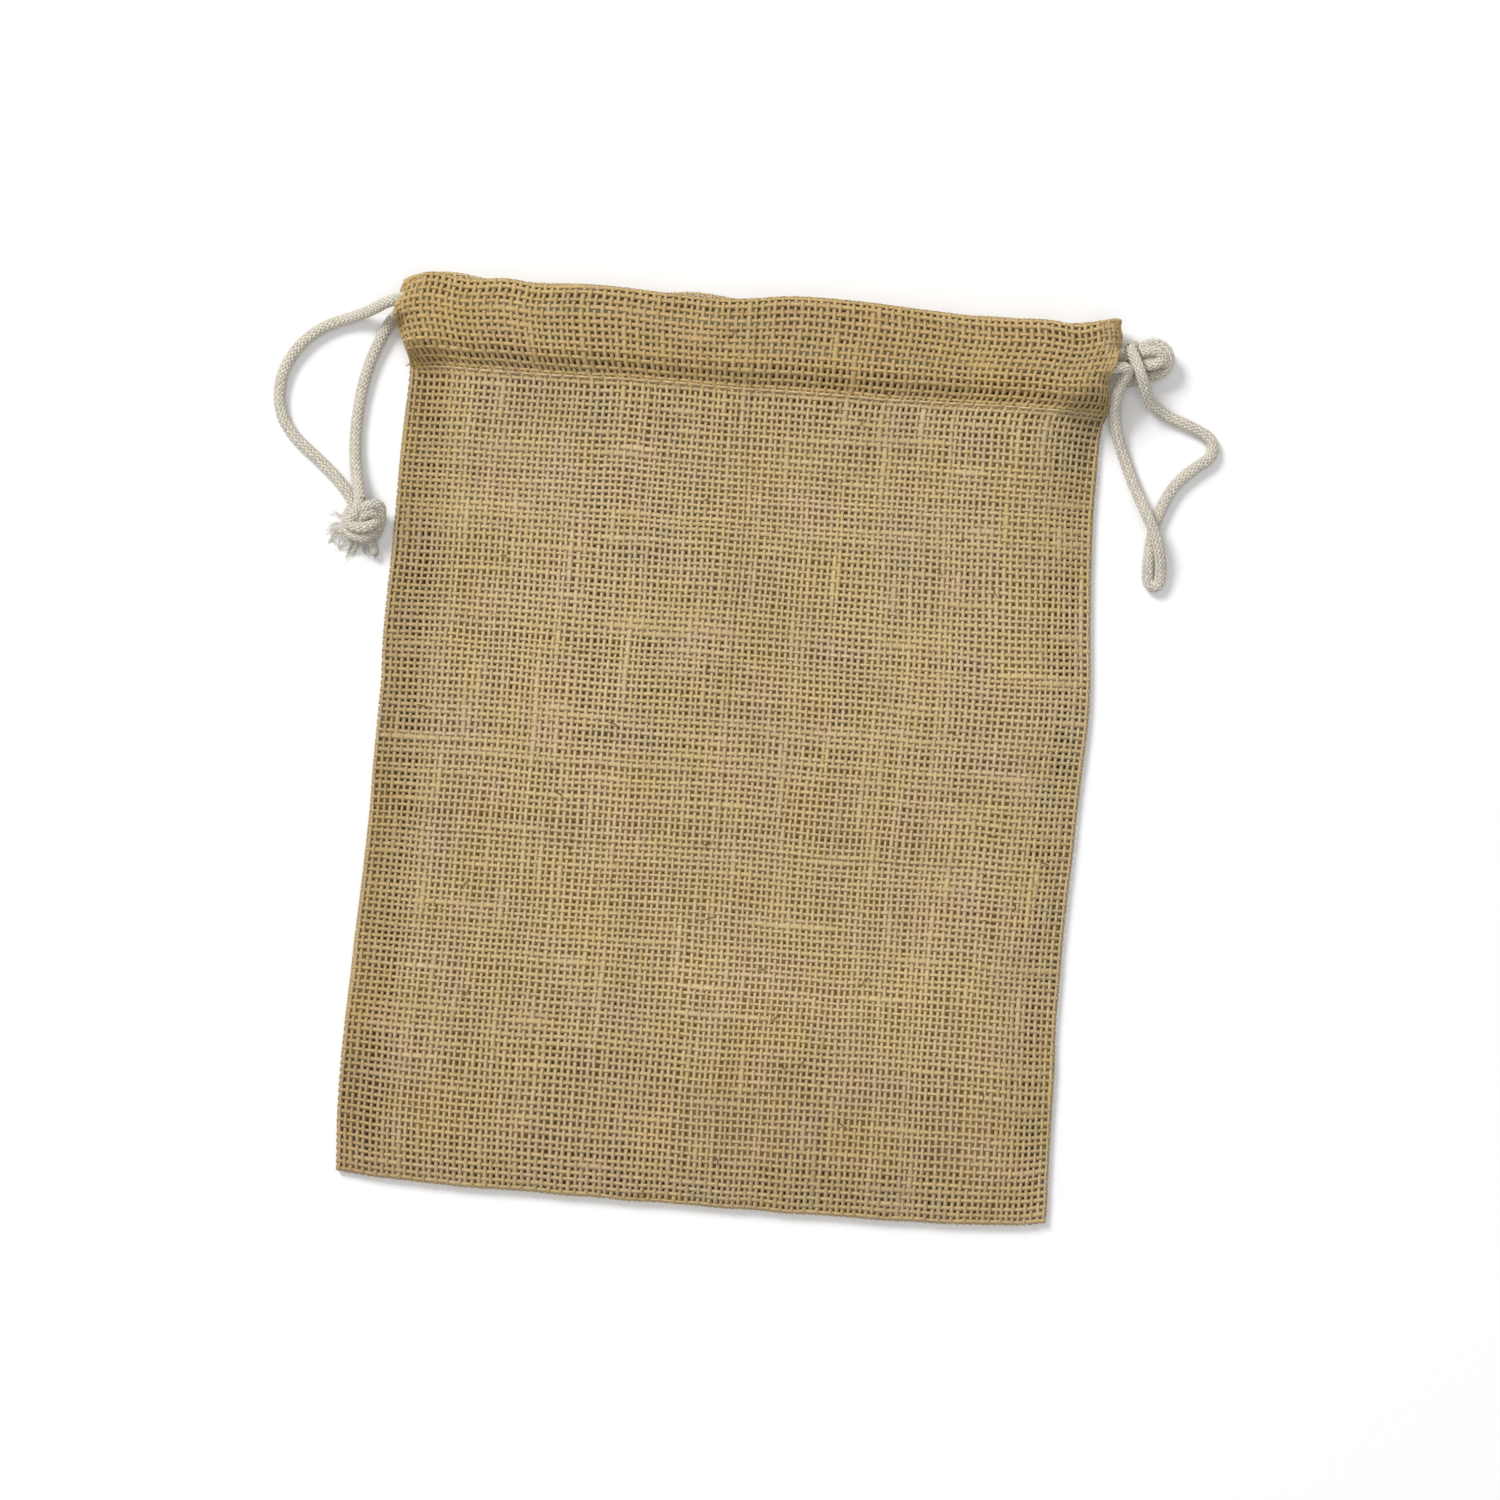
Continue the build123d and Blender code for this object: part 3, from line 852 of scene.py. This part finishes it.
# Height and place of the seams' thread, and how far each kind of stitch arches and how thick it is
SEAM_THREAD_Z = 1.45
SEAM_INSET = 0.45
SEAM_RISE, SEAM_RADIUS = 0.3, 0.25
HEM_RISE, HEM_RADIUS = 0.40, 0.30
HEM_STITCH_LIFT = np.array([0, 0, 0.38])
STITCH_COUNT = 47
STITCH_LENGTH = 3.3
ALLOWANCE_COLUMNS = 7
ALLOWANCE_ROWS = (2, row_at(95.0))
BOTTOM_ROWS = (1, 7)
BOTTOM_HALF = 86.0
SIDE_STITCHES = (-122.0, 94.0)
BOTTOM_STITCHES = (-BOTTOM_HALF, 84.0)


def seam_stitches(node, a, b):
    """The thread of a seam, from points a to points b."""
    row = stitch_row(np.stack([a, b], 1), SEAM_RISE, SEAM_RADIUS, THREAD_RGB)
    piece = mesh_piece(node + "_stitches", [row], sewing)
    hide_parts(node)
    return piece


def seam_points(s, t):
    return np.stack([*flat_place(s, t, FRONT_TOP), np.full_like(t, SEAM_THREAD_Z)], -1)


def turned_cloth(name, gap_of, hold_of, columns, rows):
    """The back's and the front's turned-in strips of one seam, as one piece."""
    parts = weave(turned_surface(0, gap_of, hold_of), "back", columns, rows, inner=True)
    parts += weave(turned_surface(1, gap_of, hold_of), "front", columns, rows, inner=True)
    piece = mesh_piece(name + "_cloth", parts, jute)
    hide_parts(name)
    return piece


for side in (-1, 1):
    first = 1 if side < 0 else WARP_COUNT - 1 - ALLOWANCE_COLUMNS
    columns = (first, first + ALLOWANCE_COLUMNS)
    gather(turned_cloth(f"{SIDE[side]}_seam_allowance", edge_gap, side_hold, columns, ALLOWANCE_ROWS))

    t = np.arange(*SIDE_STITCHES, STITCH_PITCH)
    s = np.full_like(t, side * (HALF_W - SEAM_INSET))
    ends = seam_points(s, t), seam_points(s, t + STITCH_LENGTH)
    gather(seam_stitches(f"{SIDE[side]}_seam_thread", *ends))

    s = (np.arange(STITCH_COUNT) - (STITCH_COUNT - 1) / 2) * STITCH_PITCH
    s = s[s < 0] if side < 0 else s[s >= 0]
    for layer, surface in (("front", front_surface), ("back", back_surface)):
        last = FOLD_T + np.pi * FOLD_R + FOLD_T - STITCH_Y
        t = STITCH_Y if layer == "front" else last
        half = STITCH_LENGTH / 2
        wander = 0.25 * noise(s / 11, s * 0, 75)
        a, b = surface(s - half, t + wander), surface(s + half, t + wander)
        ends = np.stack([a + HEM_STITCH_LIFT, b + HEM_STITCH_LIFT], 1)
        node = f"{layer}_hem_stitches"
        row = stitch_row(ends, HEM_RISE, HEM_RADIUS, THREAD_RGB)
        piece = mesh_piece(f"{node}_{SIDE[side]}", [row], sewing)
        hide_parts(node)
        gather(piece)


INNER_COLUMNS = (column_at(-BOTTOM_HALF), column_at(BOTTOM_HALF))
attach(turned_cloth("bottom_seam_allowance", bottom_gap, bottom_hold, INNER_COLUMNS, BOTTOM_ROWS), "pouch")
s = np.arange(*BOTTOM_STITCHES, STITCH_PITCH)
t = np.full_like(s, -HALF_H + SEAM_INSET)
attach(seam_stitches("bottom_seam_thread", seam_points(s, t), seam_points(s + STITCH_LENGTH, t)), "pouch")


# ---------------------------------------------------------------- knots and frayed ends

LEFT_KNOT = np.array([-106.0, 55.7, 0.0])
RIGHT_KNOT = np.array([111.6, 117.1, 0.0])
# Each turn of cord on a knot, as points from the knot's foot
LEFT_TURNS = [
    [
        (-4.4, 1.8, 2.0), (-4.7, -0.2, 4.6), (-2.6, -1.7, 6.7), (0.6, -1.9, 7.3), (3.4, -0.7, 6.2),
        (4.5, 1.2, 3.4),
    ],
    [(-4.0, -1.4, 1.8), (-3.9, -3.3, 3.9), (-0.8, -4.5, 5.1), (2.4, -4.0, 4.9), (4.4, -1.8, 2.6)],
    [
        (-2.2, 0.6, 4.8), (-0.7, 2.8, 7.1), (2.1, 5.0, 7.2), (4.9, 4.8, 5.5), (4.9, 1.6, 4.0),
        (4.5, -2.0, 2.3), (3.2, -4.2, 1.8),
    ],
    [(-1.8, 0.0, 5.4), (0.6, 2.0, 6.9), (2.8, 3.0, 6.6), (3.8, 1.2, 4.8)],
    [(-1.0, 6.0, 6.6), (-1.5, 3.6, 7.3), (-2.4, 1.2, 6.9), (-3.8, -0.6, 5.0), (-3.6, -1.6, 3.4)],
    [(-2.4, 4.0, 2.6), (-1.6, 2.8, 3.2), (0.6, 1.4, 3.6), (2.6, 0.8, 3.6)],
    [(-3.4, -3.2, 1.75), (-1.0, -4.8, 2.2), (2.2, -4.4, 2.0), (3.8, -2.4, 1.8)],
    [(-3.2, 3.6, 1.9), (-4.7, 1.8, 2.3), (-4.7, -0.8, 2.2), (-3.6, -3.0, 1.8)],
    [(1.0, 4.4, 2.0), (3.8, 3.4, 2.4), (4.7, 0.6, 2.0), (3.8, -2.6, 1.8)],
]
RIGHT_TURNS = [
    [
        (-3.2, -2.8, 2.8), (-4.5, 0.6, 4.4), (-2.8, 3.8, 5.6), (1.0, 4.6, 5.9), (4.2, 2.6, 5.5),
        (4.6, -1.2, 4.9), (2.4, -4.1, 4.2), (-1.2, -4.6, 3.2),
    ],
    [(-3.2, 1.6, 6.0), (-0.8, 2.5, 6.9), (1.8, 1.9, 7.0), (3.3, 0.2, 6.2), (3.6, -1.6, 5.0)],
    [(-2.6, -1.8, 5.6), (-0.6, -2.0, 6.5), (1.6, -1.0, 6.8), (2.9, 0.6, 6.2)],
    [(-6.8, 2.5, 7.6), (-5.8, 3.7, 5.0), (-3.2, 2.4, 3.6), (0.0, -0.4, 3.2)],
    [
        (-4.4, 0.4, 1.9), (-3.2, 3.4, 2.0), (0.4, 4.6, 2.1), (3.8, 2.8, 2.0), (4.6, -0.8, 2.0),
        (2.6, -3.8, 1.9), (-1.0, -4.6, 1.9), (-3.9, -2.4, 1.9),
    ],
    [(-6.6, -0.1, 3.5), (-5.0, -0.6, 3.4), (-2.8, -1.0, 3.2), (-0.6, -0.8, 3.2)],
]


KNOT_CORE_R = 3.6
KNOT_CORE_TOP = 6.8
FIBRES = 4


def knot_core(centre, reach, top):
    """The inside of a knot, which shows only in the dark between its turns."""
    u = np.linspace(0.02, 0.98, 12)
    z = 0.3 + (top - 0.3) * u
    line = np.stack([np.full_like(u, centre[0]), np.full_like(u, centre[1]), z], -1)[None]
    width = reach * np.sqrt(np.clip(1 - (2 * u - 1) ** 2, 0.02, 1))[None]
    side = np.broadcast_to(np.array([1.0, 0, 0]), line.shape)
    up = np.broadcast_to(np.array([0, 1.0, 0]), line.shape)
    # The core's cotton is darkened as painted shade in the dark between the turns
    return tubes(line, side, up, width, width, 12, np.broadcast_to(COTTON_RGB * 0.7, line.shape))


def knot_piece(node, centre, turns, side, seed):
    parts = [knot_core(centre, KNOT_CORE_R, KNOT_CORE_TOP)]
    for number, turn in enumerate(turns):
        line = spline_points([tuple(centre + np.array(p)) for p in turn])
        parts += braid(line, seed=seed + number, scale=0.94)
    piece = mesh_piece(node + "_turns", parts, cotton)
    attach(piece, PULL[side])
    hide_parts(node)
    return piece


def loose_yarns(bundles, seed):
    """Frayed yarns: each bundle is (root, tip, count, spread). Every yarn curves down to the table and
    splits into fibres."""
    draw = np.random.default_rng(SEED + seed)
    u = np.linspace(0, 1, 12)
    C, W, tint = [], [], []
    for root, tip, count, spread in bundles:
        for _ in range(count):
            a = np.array(root) + draw.normal(0, 0.45, 3) * (1, 1, 0.6)
            b = np.array(tip) + draw.normal(0, spread, 3) * (1, 1, 0.1)
            bow = np.array([b[1] - a[1], a[0] - b[0], 0]) * draw.normal(0, 0.20)
            radius = draw.uniform(0.12, 0.21)
            tone = 1 + 0.07 * draw.standard_normal()
            for fibre in range(FIBRES):
                split = draw.normal(0, 0.6, 2)
                line = a + (b - a) * u[:, None] + bow * np.sin(np.pi * u)[:, None]
                line[:, :2] += split * (np.clip(u - 0.35, 0, 1) ** 1.5)[:, None] * 1.8
                line[:, :2] += draw.normal(0, 0.22, 2) * np.sin(2 * np.pi * u + fibre)[:, None]
                arch = (0.15 + 0.5 * draw.random()) * np.sin(np.pi * u)
                line[:, 2] = np.maximum(a[2] * (1 - u) ** 1.4 + arch + 0.2, 0.2)
                size = radius * (0.70 if fibre else 1.0) * (1 - 0.75 * u**1.4)
                C.append(line)
                W.append(size)
                shade = tone * (1 + 0.05 * draw.standard_normal())
                tint.append(np.tile(COTTON_RGB * shade, (len(u), 1)))
    C, W = np.array(C), np.array(W)
    run = unit(np.gradient(C, axis=1))
    up = np.broadcast_to(np.array([0.0, 0, 1]), C.shape)
    side = unit(np.cross(up, run))
    up = np.cross(run, side)
    C[..., 2] = np.maximum(C[..., 2], W + 0.02)
    return tubes(C, side, up, W, W, 4, np.array(tint), draw.uniform(0, 300, len(C)))


left_knot = knot_piece("left_cord_knot", LEFT_KNOT, LEFT_TURNS, -1, 40)
right_knot = knot_piece("right_cord_knot", RIGHT_KNOT, RIGHT_TURNS, 1, 60)

LEFT_BUNDLES = [
    ((-110.2, 54.9, 3.2), (-115.6, 57.4, 1.2), 1, 0.25),
    ((-110.2, 54.0, 2.8), (-115.6, 55.4, 0.6), 1, 0.25),
    ((-110.0, 53.2, 2.6), (-115.2, 52.2, 0.4), 3, 0.35),
    ((-109.4, 52.4, 2.6), (-114.8, 49.4, 0.4), 4, 0.4),
    ((-108.4, 51.6, 2.6), (-112.6, 47.2, 0.4), 2, 0.4),
    ((-107.6, 51.2, 2.6), (-110.2, 45.4, 0.4), 4, 0.4),
    ((-106.6, 50.8, 2.4), (-107.8, 46.6, 0.4), 2, 0.4),
    ((-104.8, 50.8, 2.4), (-105.0, 46.6, 0.4), 2, 0.4),
    ((-103.8, 51.2, 2.4), (-101.8, 46.4, 0.4), 3, 0.3),
]
left_stub = [(-103.9, 51.8, 2.4), (-103.0, 49.4, 2.2), (-102.2, 47.0, 1.8)]
left_parts = [loose_yarns(LEFT_BUNDLES, 81)] + braid(spline_points(left_stub), seed=82, scale=0.8)
left_frays = mesh_piece("left_cord_frayed_yarns", left_parts, cotton)
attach(left_frays, "left_drawcord")
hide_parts("left_cord_frayed_ends")

RIGHT_BUNDLES = [
    ((106.6, 110.8, 2.0), (103.8, 110.6, 0.4), 4, 0.35),
    ((106.8, 110.4, 1.8), (104.2, 109.6, 0.4), 4, 0.35),
]
right_stub = [(109.8, 111.8, 2.4), (107.4, 110.8, 2.1), (105.0, 110.6, 1.8)]
right_parts = [loose_yarns(RIGHT_BUNDLES, 83)] + braid(spline_points(right_stub), seed=84, scale=0.9)
right_frays = mesh_piece("right_cord_frayed_yarns", right_parts, cotton)
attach(right_frays, "right_drawcord")
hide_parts("right_cord_frayed_ends")


# ---------------------------------------------------------------- hairs of the jute

# Radius of a light hair, how much thicker a dark one is, and their colours as shares of the jute's
HAIR_R = 0.055
DARK_WIDER = 2.5
DARK_HAIR = np.array([0.22, 0.17, 0.12])
LIGHT_HAIR = np.array([1.15, 1.12, 1.15])


def hairs(count, layer_surface, seed, dark, area, up_or_down):
    """Short stray fibres on a surface of the cloth, on top of it for 1 and beneath it for -1."""
    draw = np.random.default_rng(SEED + seed)
    u = np.linspace(0, 1, 7)
    s0 = draw.uniform(*area[0], count)
    t0 = draw.uniform(*area[1], count)
    heading = draw.uniform(0, 2 * np.pi, count)
    reach = draw.uniform(1.5, 4.5, count)
    curl = draw.normal(0, 1.1, count)
    angle = heading[:, None] + curl[:, None] * u
    step = reach[:, None] / len(u)
    s = s0[:, None] + np.cumsum(np.cos(angle), 1) * step
    t = t0[:, None] + np.cumsum(np.sin(angle), 1) * step
    s, t = np.clip(s, -HALF_W, HALF_W), np.clip(t, -HALF_H, FOLD_T + 3)
    C = layer_surface(s, t)
    stand = 0.15 + (0.5 if up_or_down > 0 and not dark else 0.0) * draw.random(count)
    rise = YARN_HALF_H + CRIMP + 0.05 + stand[:, None] * np.sin(np.pi * u)
    C[..., 2] = np.maximum(C[..., 2] + up_or_down * rise, 0.08)
    run = unit(np.gradient(C, axis=1) + 1e-6)
    up = np.broadcast_to(np.array([0.0, 0, 1]), C.shape)
    side_way = unit(np.cross(up, run))
    up = np.cross(run, side_way)
    W = np.full(s.shape, HAIR_R) * (1 - 0.6 * np.abs(2 * u - 1) ** 2)
    if dark:
        W = W * DARK_WIDER
    colour = JUTE_RGB * (DARK_HAIR if dark else LIGHT_HAIR)
    tint = np.broadcast_to(colour * (1 + 0.15 * draw.standard_normal((count, 1, 1))), C.shape)
    return tubes(C, side_way, up, W, W, 4, tint)


# Light hairs and dark ones on each panel, shared out over its parts, and how far across and along they start
HAIRS = {"front": (900, 48), "back": (260, 24)}
HAIRS_S = 97.0
HAIRS_LOW, HAIRS_HIGH = -122.0, 121.0
for layer, surface, up in (("front", front_surface, 1), ("back", back_surface, -1)):
    light, dark = HAIRS[layer]
    places = {
        "lower": ((-HAIRS_S, HAIRS_S), (HAIRS_LOW, SHOULDER_Y), 0.40),
        "left": ((-HAIRS_S, 0.0), (SHOULDER_Y, HAIRS_HIGH), 0.30),
        "right": ((0.0, HAIRS_S), (SHOULDER_Y, HAIRS_HIGH), 0.30),
    }
    for number, (part, (across, along, share)) in enumerate(places.items()):
        seed = 90 + number + (10 if layer == "back" else 0)
        kinds = [hairs(int(light * share), surface, seed, False, (across, along), up),
                 hairs(int(dark * share), surface, seed + 40, True, (across, along), up)]
        piece = mesh_piece(f"{layer}_panel_hairs_{part}", kinds, jute)
        if part == "lower":
            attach(piece, "pouch")
        else:
            gather(piece)


# ---------------------------------------------------------------- cords and the pieces they carry

CARRIED = {"left_outer": [left_knot, left_frays], "left_inner": [], "right_loop": [right_knot, right_frays]}
for route, carried in CARRIED.items():
    line = free_lines[route] * MM
    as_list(carried)
